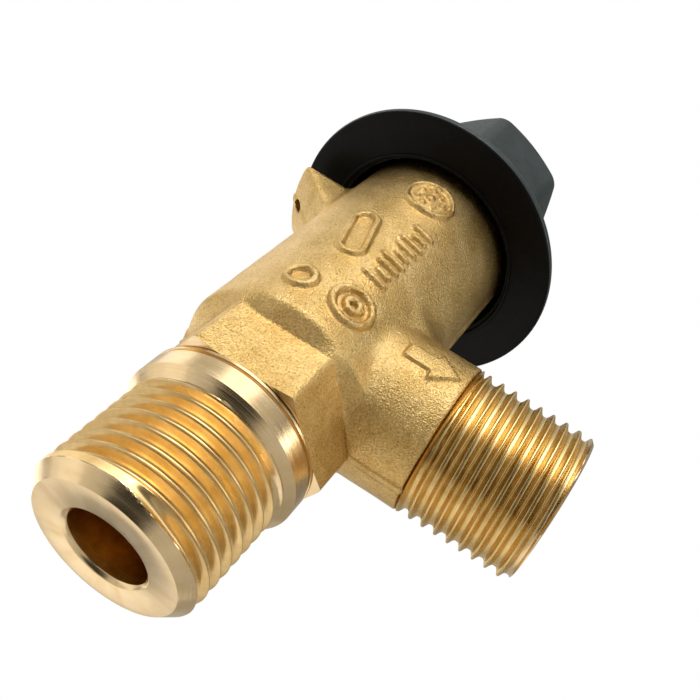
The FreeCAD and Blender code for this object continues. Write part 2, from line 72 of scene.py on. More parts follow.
BODY_LOW, BODY_HIGH = box_mm("valve_body")
KNOB_LOW, KNOB_HIGH = box_mm("knob")
PLATE_TOP = box_mm("lower_spring_plate")[1][2]

# pipe thread, G 1/2. A flank is placed by its middle, as a distance from the middle of the crest, and
# the rounds are those over the crest and in the root.
PITCH = 1.814
CREST_R = 10.4775
ROOT_R = 9.3155
FLANK_SLOPE = 1.921
INLET_FLANK = 0.37
INLET_ROUNDS = (0.12, 0.30)
OUTLET_FLANK = 0.34
OUTLET_ROUNDS = (0.10, 0.40)

# inlet end
BORE_R = 5.0
COUNTERSINK_R = 5.5
COUNTERSINK_DEPTH = 0.5
FACE_R = 9.0
CHAMFER_SLOPE = 1.0
INLET_CREST_Z = 2.55
INLET_CREST_ANGLE = -88.0
INLET_LEAD_TURN = 0.7
RUNOUT_START = 14.7
RUNOUT_END = 16.5
COLLAR_R = 11.5
EDGE_BREAK = 0.06
EDGE_SLANT = 0.08
MOUTH_BREAK = 0.04
GROOVE_LOW = 18.93
GROOVE_HIGH = 19.42
GROOVE_R = 11.22
INLET_COLUMNS = 400

# hexagon
HEX_LOW = 19.8
HEX_HIGH = 27.9
HEX_APOTHEM = 11.0
HEX_ROUND = 0.9
HEX_FACE_R = 10.9
HEX_CORNER_R = 12.56
HEX_BEVEL = 0.45
HEX_SIDE_LOW = 21.2
HEX_INNER_R = 9.0
HEX_OVERLAP = 0.02

# barrel
SHOULDER_DEPTH = 0.6
SHOULDER_ROUND = 0.5
BARREL_LOW = 29.5
BARREL_R = 13.3
BARREL_TOP = BODY_HIGH[2]
MOUTH_BEVEL = 0.6
MOUTH_ROUND = 0.1

# outlet branch. Its fillet grows between two heights above its axis.
OUTLET_Z = 36.7
BRANCH_R = 10.25
BRANCH_FILLET = 0.7
BRANCH_TOP_FILLET = 3.6
FILLET_GROWS = (4.0, 9.0)
BRANCH_END = 19.95
BRANCH_END_ROUND = 0.35
OUTLET_END = BODY_HIGH[0]
OUTLET_CREST_X = 20.99
OUTLET_CREST_ANGLE = 180.0
OUTLET_CREST_R = 10.2
OUTLET_ROOT_R = 9.35
OUTLET_START = BRANCH_END + 0.25
OUTLET_RUNOUT_END = 20.62
OUTLET_RUNOUT_SLOPE = 2.2
OUTLET_CHAMFER = 0.30
OUTLET_NECK_R = 9.85
OUTLET_INNER_R = 9.0
OUTLET_INNER_X = BRANCH_END - 1.2
OUTLET_BORE_R = 6.25
OUTLET_BORE_BEVEL = 0.35
OUTLET_COLUMNS = 480
POCKET_R = 6.7
POCKET_END = 11.0

# lug for the seal wire
LUG_REACH = -BODY_LOW[0]
LUG_TOP = 64.6
LUG_ROOT = (12.3, 56.6)
LUG_TIP = (20.5, 63.9)
LUG_HALF_WIDTH = 6.0
LUG_FILLET = 0.9
LUG_ROUND = 0.5
LUG_SIDE_ROUND = 0.8
LUG_HOLE_X = -18.6
LUG_HOLE_R = 0.9
LUG_HOLE_LOW = 55.0

# flash line of the forging dies, all round the casting in the XZ plane
PARTING_HEIGHT = 0.2
PARTING_EDGES = (0.4, 0.65)

# rounding of the holes' edges, size of the casting's mesh and times that it is moved towards the
# exact surface
HOLE_ROUND = 0.15
CASTING_VOXEL = 0.29
SURFACE_STEPS = 3

# chambers inside the body: (radius, height)
CHAMBER_OUTLINE = [
    (0.0, 27.0), (5.15, 27.0), (5.15, 31.0), (5.7, 31.0), (7.2, 29.5), (9.8, 29.5), (9.8, 45.0),
    (11.2, 45.0), (11.2, 74.0), (0.0, 74.0),
]

# depth below a round surface from which its marks are raised
MARK_DEPTH = 1.5

# marks on the barrel: u is the arc from the -Y line and v the height. A stroke is its half width and
# its height, and the relief makes all heights greater alike.
MARK_RELIEF = 1.4
DIAL_PLACE = (0.8, 61.3)
DIAL_R = 3.7
DIAL_DOT_R = 1.85
DIAL_DOTS = 7
DIAL_RISE = 0.18
DIAL_RIM_INSET = 0.4
DIAL_RIM_STROKE = (0.34, 0.50)
DIAL_DOT_STROKE = (0.40, 0.46)
DIAL_HUB_STROKE = (0.60, 0.46)
BAR_LEFT = 2.2
BAR_RIGHT = 4.9
BAR_START = 41.2
BAR_STEP = 1.62
BAR_COUNT = 9
BAR_SHORTER = (0.0, 0.9, 0.3)
BAR_STROKE = (0.40, 0.42)
MARK_RINGS = [((-2.7, 34.6), 1.7), ((4.2, 35.2), 2.6), ((4.2, 35.2), 0.9)]
RING_STROKE = (0.44, 0.48)
SLOT_ENDS = ((-1.4, 44.0), (-3.0, 50.2))
SLOT_R = 1.5
SLOT_STROKE = (0.40, 0.42)
STROKE_SHOULDER = 0.17

# flow arrow on the branch: along the axis from tail to tip, and half widths
ARROW_TAIL = 11.7
ARROW_NECK = 15.5
ARROW_TIP = 18.9
ARROW_SHAFT = 1.2
ARROW_HEAD = 2.5
ARROW_RELIEF = 0.42

# knob
KNOB_COLUMNS = 480
FLANGE_R = KNOB_HIGH[0]
FLANGE_LOW = 67.8
FLANGE_TOP = 69.4
LIP_R = 15.05
LIP_Z = KNOB_LOW[2]
RECESS_R = 14.2
RECESS_TOP = 78.0
SKIRT_R = 16.0
SKIRT_TOP = 77.6
CONE_R = 12.6
CONE_TOP = 83.4
GRIP_APOTHEM = 11.45
GRIP_ROUND = 2.42
GRIP_CORNER_ANGLE = -96.0
GRIP_TOP = KNOB_HIGH[2]
GRIP_FACE_R = 10.9
GRIP_CHAMFER = 0.76
GRIP_BORE_R = 7.0
WEB_TOP = 83.0
WEB_HOLE_R = 4.62
INSERT_POCKET_R = 12.82
INSERT_POCKET_TOP = 80.0

# spring. It stands a small gap above the lower plate's flange, which lies a hub's height below the
# plate's top. Its ends are ground down by a share of the wire's radius, a share of its length lies
# almost flat at each end, and a share of its rise is spread evenly.
WIRE_R = 1.0
PLATE_HUB = 3.0
PLATE_GAP = 0.03
SPRING_LOW = PLATE_TOP - PLATE_HUB + PLATE_GAP
SPRING_HIGH = 64.37
SPRING_R = 8.3
SPRING_TURNS = 5.5
END_GROUND = 0.25
END_TURNS = 0.04
EVEN_RISE = 0.25
SPRING_STEPS = 420
WIRE_SIDES = 14

# diaphragm: its outline from the middle along the wet side to the rim and back along the dry side
DIAPHRAGM_OUTLINE = [
    (2.56, 42.03), (6.4, 42.03), (7.0, 41.85), (7.6, 41.6), (8.2, 41.7), (8.8, 42.4), (9.2, 43.6),
    (9.35, 44.6), (9.5, 45.03), (11.1, 45.03), (11.1, 46.2), (8.9, 46.2), (8.55, 45.7), (8.3, 44.8),
    (8.1, 43.7), (7.75, 42.95), (7.3, 42.75), (6.8, 43.03), (2.56, 43.03),
]
DIAPHRAGM_COLUMNS = 120

# camera: place, turn (degrees about X, Y, Z), lens and shift of the frame
CAMERA_PLACE_MM = (28.043, -73.926, -33.326)
CAMERA_TURN = (139.537, -27.797, -18.797)
CAMERA_LENS = 42.055
CAMERA_SENSOR = 36.0
CAMERA_SHIFT = (-0.0720, 0.1116)

# the tent of light round the scene. Its darker parts have a direction, the cosines where the dimming
# starts and is full, and the level left.
TENT_COLOUR = (1.0, 0.962, 0.88, 1)
TENT_LEVEL = 0.60
TENT_PANELS = [
    ((0.72, 0.22, 0.66), 0.45, 0.95, 0.36),
    ((-0.30, 0.85, 0.30), 0.55, 0.95, 0.85),
]

# floor, in metres
FLOOR_Z = -0.20
FLOOR_HALF = 6.0

# dark cards: place in metres, half width, half height and shade
CARDS = [
    ((0.043, -0.112, -0.020), 0.033, 0.058, 0.012),
    ((0.024, -0.055, -0.080), 0.014, 0.028, 0.012),
    ((-0.002, -0.059, -0.125), 0.056, 0.047, 0.02),
]

# lights: place in metres, width, height, power in watts and colour
LIGHTS = [
    ((-0.04, -0.29, 0.175), 0.20, 0.28, 0.29, (1.0, 0.995, 1.03)),
    ((-0.04, -0.29, 0.115), 0.20, 0.08, 0.22, (1.0, 0.995, 1.03)),
    ((-0.30, 0.02, 0.22), 0.22, 0.28, 0.16, (1.0, 0.985, 0.96)),
    ((0.28, -0.085, 0.125), 0.06, 0.20, 0.14, (1.0, 0.99, 0.97)),
    ((-0.026, 0.15, -0.138), 0.40, 0.17, 0.133, (1.0, 0.96, 0.92)),
    ((-0.25, 0.27, 0.06), 0.20, 0.22, 0.21, (1.0, 0.98, 0.95)),
    ((-0.27, -0.015, -0.12), 0.25, 0.16, 0.085, (1.0, 0.97, 0.93)),
]
LIGHT_AIM = Vector((0.003, 0.0, 0.045))


# ------------------------------------------------------------------------------------- meshes


def round_faces(rows, columns, shift=0, closed=False):
    """Quads of a grid whose columns run round an axis.
    With a shift, the last column joins the first one that many rows higher, as on a helix."""
    last = rows if closed else rows - 1
    row = np.repeat(np.arange(last), columns)
    column = np.tile(np.arange(columns), last)
    ahead = (column + 1) % columns
    step = np.where(column == columns - 1, shift, 0)
    up = (row + 1) % rows if closed else row + 1
    low_ahead = np.minimum(row + step, rows - 1)
    up_ahead = (up + step) % rows if closed else np.minimum(up + step, rows - 1)
    corners = (row * columns + column, low_ahead * columns + ahead,
               up_ahead * columns + ahead, up * columns + column)
    return np.stack(corners, axis=1)


def make_piece(name, points, faces, sharp, weld=True, turn_outward=False):
    """A mesh object from points in millimetres, smooth except along edges sharper than an angle."""
    mesh = bpy.data.meshes.new(name)
    mesh.from_pydata((points * MM).tolist(), [], faces)
    if weld or turn_outward:
        bm = bmesh.new()
        bm.from_mesh(mesh)
        if weld:
            bmesh.ops.remove_doubles(bm, verts=bm.verts, dist=2e-7)
            bmesh.ops.dissolve_degenerate(bm, edges=bm.edges, dist=1e-7)
        if turn_outward:
            bmesh.ops.recalc_face_normals(bm, faces=bm.faces)
        bm.to_mesh(mesh)
        bm.free()
    mesh.polygons.foreach_set("use_smooth", [True] * len(mesh.polygons))
    mesh.set_sharp_from_angle(angle=math.radians(sharp))
    mesh.update()
    piece = bpy.data.objects.new(name, mesh)
    bpy.context.scene.collection.objects.link(piece)
    return piece


def lay_along_x(points):
    """Turn points from the +Z axis onto the outlet's axis."""
    return np.stack([points[:, 2], points[:, 1], OUTLET_Z - points[:, 0]], axis=1)


def polar_points(radius, height, angle):
    """Points from arrays of radius, height and angle, all of one shape."""
    return np.stack([radius * np.cos(angle), radius * np.sin(angle), height], axis=-1)


def smooth_min(a, b, k):
    """The lesser of two values, with the corner rounded over a width k."""
    blend = np.clip(0.5 + 0.5 * (b - a) / k, 0, 1)
    return b * (1 - blend) + a * blend - k * blend * (1 - blend)


def smooth_max(a, b, k):
    """The greater of two values, with the corner rounded over a width k."""
    return -smooth_min(-a, -b, k)


def smooth_step(x, low, high):
    """0 below low, 1 above high and smooth between them."""
    t = np.clip((x - low) / (high - low), 0, 1)
    return t * t * (3 - 2 * t)


def hexagon_radius(angle, apothem, rounding, corner_angle=0.0):
    """Radius of a hexagon with rounded corners at an angle."""
    off_corner = (angle - math.radians(corner_angle) + math.pi / 6) % (math.pi / 3) - math.pi / 6
    off_flat = math.pi / 6 - np.abs(off_corner)
    inner = apothem - rounding
    centre = inner / math.cos(math.pi / 6)
    on_arc = centre * np.cos(off_corner)
    on_arc += np.sqrt(np.maximum(rounding ** 2 - (centre * np.sin(off_corner)) ** 2, 0))
    on_flat = apothem / np.cos(off_flat)
    return np.where(apothem * np.tan(off_flat) <= inner * math.tan(math.pi / 6), on_flat, on_arc)


# ------------------------------------------------------------------------------- threaded ends


def thread_offsets():
    """Places of the mesh rows along one pitch, closest together on the crest."""
    half = [0.0, 0.06, 0.11, 0.17, 0.25, 0.40, 0.52, 0.62, 0.72, 0.82]
    return np.array(sorted({0.5 * PITCH} | set(half) | {-x for x in half}))


def thread_radius(along, crest_r, root_r, middle, crest_round, root_round):
    """Radius of the thread at a distance along its axis from the middle of a crest."""
    off = np.abs((along + PITCH / 2) % PITCH - PITCH / 2)
    flank = (crest_r + root_r) / 2 - FLANK_SLOPE * (off - middle)
    return smooth_min(smooth_max(flank, root_r, root_round), crest_r, crest_round)


def thread_rows(start, end, crest, columns):
    """Angle, height and distance from the crest's helix for rows that follow the helix, and the
    number of rows in one pitch."""
    offsets = thread_offsets()
    turns = int((end - start) / PITCH) + 3
    first = crest - math.ceil((crest - start) / PITCH + 2) * PITCH
    bases = [first + i * PITCH + offset for i in range(turns + 3) for offset in offsets]
    bases = np.array(bases)[:, None]
    angle = np.arange(columns) * 2 * math.pi / columns
    lead = PITCH * angle / (2 * math.pi)
    height = np.clip(bases + lead, start, end)
    phase = height - lead - crest
    return np.broadcast_to(angle, height.shape), height, phase, len(offsets)


def threaded_piece(start, end, crest, crest_angle, envelope, tail, columns):
    """A closed solid with a right-hand thread between two heights.
    The envelope gives the radius from the place along the thread and the height, and the tail
    is the rest of the outline, from the thread's far end round through the bore."""
    angle, height, phase, shift = thread_rows(start, end, crest, columns)
    turned = math.radians(crest_angle)
    radius = envelope(phase, height, angle)
    rows = len(radius)
    thread = polar_points(radius, height, angle + turned)
    around = np.arange(columns) * 2 * math.pi / columns + turned
    rest = np.stack([polar_points(*corner(around), around) for corner in tail])
    points = np.concatenate([thread, rest]).reshape(-1, 3)
    faces = [round_faces(rows, columns, shift)]
    chain = round_faces(len(rest) + 2, columns)
    order = np.concatenate([[rows - 1], rows + np.arange(len(rest)), [0]])
    faces.append(order[chain // columns] * columns + chain % columns)
    return points, np.concatenate(faces).tolist()


def ring(radius, height):
    """An outline corner that is the same all round."""
    return lambda angle: (np.full_like(angle, radius), np.full_like(angle, height))


def hexagon_corner(height):
    """An outline corner on the hexagon's side at a height."""
    return lambda angle: (hexagon_radius(angle, HEX_APOTHEM, HEX_ROUND), np.full_like(angle, height))


def hexagon_bevel_corner(angle):
    """The outline corner where the turned bevel meets the hexagon's side."""
    radius = hexagon_radius(angle, HEX_APOTHEM, HEX_ROUND)
    rise = HEX_BEVEL * (radius - HEX_FACE_R) / (HEX_CORNER_R - HEX_FACE_R)
    return radius, HEX_LOW + rise


def inlet_envelope(phase, height, turn):
    """The inlet's thread between its end chamfer and the cone that runs up to the collar."""
    radius = thread_radius(phase, CREST_R, ROOT_R, INLET_FLANK, *INLET_ROUNDS)
    opened = np.where(phase < 0, smooth_step(turn, 0.0, INLET_LEAD_TURN), 1.0)
    radius = CREST_R + (radius - CREST_R) * np.where(phase < -PITCH, 0.0, opened)
    slope = (COLLAR_R - ROOT_R) / (RUNOUT_END - RUNOUT_START)
    runout = ROOT_R + slope * (height - RUNOUT_START)
    chamfer = FACE_R + CHAMFER_SLOPE * height
    return np.minimum(np.maximum(radius, runout), chamfer)


def make_inlet_end():
    """Inlet thread, collar and hexagon with the bore through them."""
    tail = [
        ring(COLLAR_R, RUNOUT_END + EDGE_BREAK),
        ring(COLLAR_R, GROOVE_LOW),
        ring(GROOVE_R, GROOVE_LOW + EDGE_SLANT),
        ring(GROOVE_R, GROOVE_HIGH - EDGE_SLANT),
        ring(COLLAR_R, GROOVE_HIGH),
        ring(COLLAR_R, HEX_LOW - EDGE_BREAK),
        ring(COLLAR_R - EDGE_SLANT, HEX_LOW),
        ring(HEX_FACE_R, HEX_LOW),
        hexagon_bevel_corner,
    ]
    tail += [hexagon_corner(z) for z in np.linspace(HEX_SIDE_LOW, HEX_HIGH, 8)]
    tail += [
        ring(HEX_INNER_R, HEX_HIGH),
        ring(BORE_R, HEX_HIGH),
        ring(BORE_R, COUNTERSINK_DEPTH + MOUTH_BREAK),
        ring(BORE_R + MOUTH_BREAK, COUNTERSINK_DEPTH - MOUTH_BREAK),
        ring(COUNTERSINK_R - MOUTH_BREAK, MOUTH_BREAK),
        ring(COUNTERSINK_R + MOUTH_BREAK, 0.0),
        ring(FACE_R - EDGE_BREAK, 0.0),
    ]
    points, faces = threaded_piece(0.0, RUNOUT_END, INLET_CREST_Z, INLET_CREST_ANGLE,
                                   inlet_envelope, tail, INLET_COLUMNS)
    return make_piece("inlet_end", points, faces, sharp=28.0)


def outlet_envelope(phase, height, turn):
    """The outlet's thread between the branch's end and its own end chamfer."""
    radius = thread_radius(phase, OUTLET_CREST_R, OUTLET_ROOT_R, OUTLET_FLANK, *OUTLET_ROUNDS)
    runout = OUTLET_ROOT_R + OUTLET_RUNOUT_SLOPE * (OUTLET_RUNOUT_END - height)
    chamfer = OUTLET_ROOT_R + OUTLET_CHAMFER + CHAMFER_SLOPE * (OUTLET_END - height)
    return np.minimum(np.maximum(radius, runout), chamfer)


def make_outlet_end():
    """Outlet thread with the bore through it, from inside the cast branch to the end face."""
    tail = [
        ring(OUTLET_BORE_R + OUTLET_BORE_BEVEL, OUTLET_END),
        ring(OUTLET_BORE_R, OUTLET_END - OUTLET_BORE_BEVEL),
        ring(OUTLET_BORE_R, OUTLET_INNER_X),
        ring(OUTLET_INNER_R, OUTLET_INNER_X),
        ring(OUTLET_INNER_R, BRANCH_END),
        ring(OUTLET_NECK_R, BRANCH_END),
    ]
    points, faces = threaded_piece(OUTLET_START, OUTLET_END, OUTLET_CREST_X, OUTLET_CREST_ANGLE,
                                   outlet_envelope, tail, OUTLET_COLUMNS)
    return make_piece("outlet_end", lay_along_x(points), faces, sharp=28.0)


# ------------------------------------------------------------------------------------ casting


def outline_distance(r, z, outline):
    """Signed distance from (r, z) to a closed outline, negative inside."""
    nearest = np.full(r.shape, 1e9, np.float32)
    inside = np.zeros(r.shape, bool)
    for (ax, ay), (bx, by) in zip(outline, outline[1:] + outline[:1]):
        ex, ey = bx - ax, by - ay
        t = np.clip(((r - ax) * ex + (z - ay) * ey) / (ex * ex + ey * ey), 0, 1)
        nearest = np.minimum(nearest, (r - ax - t * ex) ** 2 + (z - ay - t * ey) ** 2)
        if ey:
            crosses = (ay > z) != (by > z)
            inside ^= crosses & (r < ax + (z - ay) * ex / ey)
    return np.where(inside, -1, 1) * np.sqrt(nearest)


def stroke(u, v, a, b):
    """Distance in the unrolled surface to a straight stroke from a to b."""
    ex, ey = b[0] - a[0], b[1] - a[1]
    t = np.clip(((u - a[0]) * ex + (v - a[1]) * ey) / (ex * ex + ey * ey), 0, 1)
    return np.hypot(u - a[0] - t * ex, v - a[1] - t * ey)


def raised(distance, half_width, height):
    """Height of a cast stroke with rounded shoulders."""
    low, high = half_width - STROKE_SHOULDER, half_width + STROKE_SHOULDER
    return height * (1 - smooth_step(distance, low, high))


def barrel_marks(u, v):
    """Plain raised marks on the barrel: a round date dial, a row of bars, rings and a slot."""
    dial = np.hypot(u - DIAL_PLACE[0], v - DIAL_PLACE[1])
    height = DIAL_RISE * (1 - smooth_step(dial, DIAL_R - 0.25, DIAL_R + 0.15))
    height = np.maximum(height, raised(np.abs(dial - DIAL_R + DIAL_RIM_INSET), *DIAL_RIM_STROKE))
    for i in range(DIAL_DOTS):
        turn = 2 * math.pi * i / DIAL_DOTS
        dot = np.hypot(u - DIAL_PLACE[0] - DIAL_DOT_R * math.cos(turn),
                       v - DIAL_PLACE[1] - DIAL_DOT_R * math.sin(turn))
        height = np.maximum(height, raised(dot, *DIAL_DOT_STROKE))
    height = np.maximum(height, raised(dial, *DIAL_HUB_STROKE))
    for i in range(BAR_COUNT):
        middle = BAR_START + i * BAR_STEP
        short = BAR_SHORTER[i % len(BAR_SHORTER)]
        bar = stroke(u, v, (BAR_LEFT + short, middle), (BAR_RIGHT - short / 3, middle))
        height = np.maximum(height, raised(bar, *BAR_STROKE))
    for centre, radius in MARK_RINGS:
        ring_distance = np.abs(np.hypot(u - centre[0], v - centre[1]) - radius)
        height = np.maximum(height, raised(ring_distance, *RING_STROKE))
    slot = np.abs(stroke(u, v, *SLOT_ENDS) - SLOT_R)
    height = np.maximum(height, raised(slot, *SLOT_STROKE))
    return MARK_RELIEF * height


def arrow_distance(u, v):
    """Signed distance to the flow arrow's outline in the unrolled surface. The outline is one half
    of the arrow and reaches a little past its middle line."""
    outline = [(ARROW_TAIL, -1.0), (ARROW_TAIL, ARROW_SHAFT), (ARROW_NECK, ARROW_SHAFT),
               (ARROW_NECK, ARROW_HEAD), (ARROW_TIP, 0.0), (ARROW_TIP, -1.0)]
    return outline_distance(u, np.abs(v), outline)


def lug_distance(r, x, y, z):
    """Distance to the conical web that carries the hole for the seal wire."""
    rise = LUG_TIP[1] - LUG_ROOT[1]
    run = LUG_TIP[0] - LUG_ROOT[0]
    length = math.hypot(rise, run)
    under = ((r - LUG_ROOT[0]) * rise - (z - LUG_ROOT[1]) * run) / length
    web = smooth_max(under, z - LUG_TOP, LUG_ROUND)
    web = smooth_max(web, np.abs(y) - LUG_HALF_WIDTH, LUG_SIDE_ROUND)
    web = smooth_max(web, r - LUG_REACH + 0.05, LUG_ROUND)
    return np.maximum(web, x)


def barrel_distance(x, y, z):
    """Distance to the barrel and its shoulder down to the hexagon, with the raised marks."""
    r = np.hypot(x, y)
    angle = np.arctan2(y, x)
    hexagon = hexagon_radius(angle, HEX_APOTHEM, HEX_ROUND) - HEX_OVERLAP
    rise = (BARREL_LOW - HEX_HIGH) / (BARREL_R - hexagon)
    shoulder = (r - hexagon - (z - HEX_HIGH) / rise) * rise / np.hypot(1, rise)
    shoulder = np.where(z < HEX_HIGH, r - hexagon, shoulder)
    mouth = (r - BARREL_R + z - BARREL_TOP + MOUTH_BEVEL) * math.sqrt(0.5)
    side = smooth_max(r - BARREL_R, shoulder, SHOULDER_ROUND)
    barrel = smooth_max(side, np.maximum(z - BARREL_TOP, mouth), MOUTH_ROUND)
    barrel = np.maximum(barrel, HEX_HIGH - SHOULDER_DEPTH - z)
    u = (angle + math.pi / 2) * BARREL_R
    return barrel - np.where(r > BARREL_R - MARK_DEPTH, barrel_marks(u, z), 0)


def branch_distance(branch_r, x, y, z):
    """Distance to the outlet branch with its raised flow arrow."""
    branch = smooth_max(branch_r - BRANCH_R, x - BRANCH_END, BRANCH_END_ROUND)
    branch = np.maximum(branch, -x)
    arrow = arrow_distance(x, np.arctan2(z - OUTLET_Z, -y) * BRANCH_R)
    relief = ARROW_RELIEF * (1 - smooth_step(arrow, -0.15, 0.18))
    return branch - np.where(branch_r > BRANCH_R - MARK_DEPTH, relief, 0)


def hollow_distance(r, branch_r, x, y, z):
    """Distance to the chambers, the outlet's bore and pocket and the hole in the lug."""
    chambers = outline_distance(r, z, CHAMBER_OUTLINE)
    outlet = np.maximum(branch_r - OUTLET_BORE_R - 0.15, -x)
    pocket = np.maximum(branch_r - POCKET_R, np.maximum(-x, x - POCKET_END))
    hole = np.hypot(x - LUG_HOLE_X, y) - LUG_HOLE_R
    hole = np.maximum(hole, LUG_HOLE_LOW - z)
    return np.minimum(np.minimum(chambers, outlet), np.minimum(pocket, hole))


def casting_distance(x, y, z):
    """Signed distance to the cast barrel, branch and lug with their chambers."""
    r = np.hypot(x, y)
    branch_r = np.hypot(y, z - OUTLET_Z)
    growth = smooth_step(z - OUTLET_Z, *FILLET_GROWS)
    fillet = BRANCH_FILLET + (BRANCH_TOP_FILLET - BRANCH_FILLET) * growth
    solid = smooth_min(barrel_distance(x, y, z), branch_distance(branch_r, x, y, z), fillet)
    solid = smooth_min(solid, lug_distance(r, x, y, z), LUG_FILLET)
    solid = solid - PARTING_HEIGHT * (1 - smooth_step(np.abs(y), *PARTING_EDGES))
    solid = solid + surface_waves(x, y, z)
    return smooth_max(solid, -hollow_distance(r, branch_r, x, y, z), HOLE_ROUND)


def surface_waves(x, y, z):
    """The slight unevenness of a forging."""
    waves = np.sin(0.9 * x + 1.3 * z)
    waves += np.sin(1.1 * y - 0.7 * z + 1.0)
    waves += np.sin(1.7 * z + 0.8 * x + 2.0)
    return 0.007 * waves


def make_casting():
    """The casting's surface, found on a grid and then moved onto the exact shape."""
    low = np.array([BODY_LOW[0] - 0.8, -BARREL_R - 1.0, OUTLET_Z - BRANCH_R - 1.0])
    high = np.array([BRANCH_END + 1.0, BARREL_R + 1.0, BARREL_TOP + 0.8])
    axes = [np.arange(a, b, CASTING_VOXEL, dtype=np.float32) for a, b in zip(low, high)]
    field = casting_distance(*np.meshgrid(*axes, indexing="ij")).astype(np.float32)
    grid = openvdb.FloatGrid()
    grid.background = 5.0
    grid.copyFromArray(np.ascontiguousarray(np.clip(field, -2, 2)))
    points, _, quads = grid.convertToPolygons(0.0, 0.0)
    points = points.astype(np.float64) * CASTING_VOXEL + low
    for _ in range(SURFACE_STEPS):
        points = step_to_surface(points)
    return make_piece("casting", points, quads[:, ::-1].tolist(), sharp=50.0, weld=False)


def step_to_surface(points, nudge=0.02):
    """Move points towards the casting's exact surface along its gradient."""
    here = casting_distance(*points.T)
    gradient = np.stack([
        casting_distance(*(points + nudge * axis).T) - casting_distance(*(points - nudge * axis).T)
        for axis in np.eye(3)
    ], axis=1) / (2 * nudge)
    size = np.maximum((gradient ** 2).sum(axis=1), 0.25)
    step = np.clip(here / size, -0.15, 0.15)
    return points - gradient * step[:, None]


# --------------------------------------------------------------------------------------- knob


def knob_outline():
    """The round part of the knob, from its recess over the lip and flange up to the cone."""
    edge = (FLANGE_TOP - FLANGE_LOW) / 2
    foot = FLANGE_TOP + 0.25
    rows = [
        (RECESS_R, FLANGE_LOW + 2.0), (RECESS_R + 0.08, FLANGE_LOW + 0.9),
        (LIP_R - 0.42, FLANGE_LOW + 0.3), (LIP_R - 0.28, LIP_Z + 0.14), (LIP_R - 0.12, LIP_Z + 0.03),
        (LIP_R + 0.05, LIP_Z), (LIP_R + 0.2, LIP_Z + 0.05), (LIP_R + 0.28, LIP_Z + 0.16),
        (LIP_R + 0.31, FLANGE_LOW), (FLANGE_R - 3.0, FLANGE_LOW),
    ]
    rows += [(FLANGE_R - edge * 0.6 * (1 - math.cos(a)), FLANGE_LOW + edge * (1 + math.sin(a)))
             for a in np.radians(np.linspace(-90, 90, 11))]
    rows += [(FLANGE_R - 3.0, FLANGE_TOP + 0.1), (SKIRT_R + 1.0, foot)]
    rows += [(SKIRT_R + 1.0 - math.sin(a), foot + 1.0 - math.cos(a)) for a in np.radians([30, 60, 90])]
    rows += [
        (SKIRT_R - 0.05, SKIRT_TOP - 3.6), (SKIRT_R - 0.1, SKIRT_TOP - 0.5),
        (SKIRT_R - 0.45, SKIRT_TOP + 0.3), (CONE_R + 1.0, CONE_TOP - 1.7),
    ]
    return rows


def knob_inside():
    """The round part of the knob's end and inside, from the grip's chamfer down to the recess."""
    return [
        (GRIP_FACE_R + 0.25, GRIP_TOP - 0.16), (GRIP_FACE_R, GRIP_TOP - 0.05),
        (GRIP_FACE_R - 0.3, GRIP_TOP), (GRIP_BORE_R + 0.3, GRIP_TOP),
        (GRIP_BORE_R + 0.06, GRIP_TOP - 0.08), (GRIP_BORE_R, GRIP_TOP - 0.3),
        (GRIP_BORE_R, WEB_TOP), (WEB_HOLE_R, WEB_TOP), (WEB_HOLE_R, INSERT_POCKET_TOP),
        (INSERT_POCKET_R, INSERT_POCKET_TOP), (INSERT_POCKET_R, RECESS_TOP), (RECESS_R, RECESS_TOP),
    ]


def make_knob():
    """Flange with a lip round its recess, skirt, cone and six-sided grip, moulded in one."""
    angle = np.arange(KNOB_COLUMNS) * 2 * math.pi / KNOB_COLUMNS
    hexagon = hexagon_radius(angle, GRIP_APOTHEM, GRIP_ROUND, GRIP_CORNER_ANGLE)
    cone_slope = (SKIRT_R - CONE_R) / (CONE_TOP - SKIRT_TOP)
    grip_foot = CONE_TOP + (CONE_R - hexagon) / cone_slope
    shoulder = GRIP_TOP - GRIP_CHAMFER * (hexagon - GRIP_FACE_R)
    grip = [(hexagon + 0.35, grip_foot - 0.6), (hexagon + 0.08, grip_foot - 0.05)]
    grip += [(hexagon, grip_foot + 0.5)]
    grip += [(hexagon - 0.002 * i, grip_foot + (shoulder - grip_foot) * i / 6) for i in range(1, 6)]
    rings = knob_outline() + grip + rounded_shoulder(hexagon, shoulder) + knob_inside()
    points = np.concatenate([polar_points(*np.broadcast_arrays(r, z, angle)) for r, z in rings])
    faces = round_faces(len(rings), KNOB_COLUMNS, closed=True).tolist()
    return make_piece("knob_shell", points, faces, sharp=40.0)


def rounded_shoulder(hexagon, shoulder):
    """Rings that round the edge between the grip's sides and its turned chamfer."""
    slope = math.hypot(1, GRIP_CHAMFER)
    rings = []
    for down, inward in ((0.45, 0.0), (0.18, 0.03), (0.0, 0.12)):
        rings.append((hexagon - inward, shoulder - down))
    for along in (0.2, 0.45):
        rings.append((np.maximum(hexagon - along / slope - 0.06, GRIP_FACE_R + 0.26),
                      np.minimum(shoulder + along * GRIP_CHAMFER / slope - 0.03, GRIP_TOP - 0.17)))
    return rings


# ------------------------------------------------------------------------- spring and diaphragm


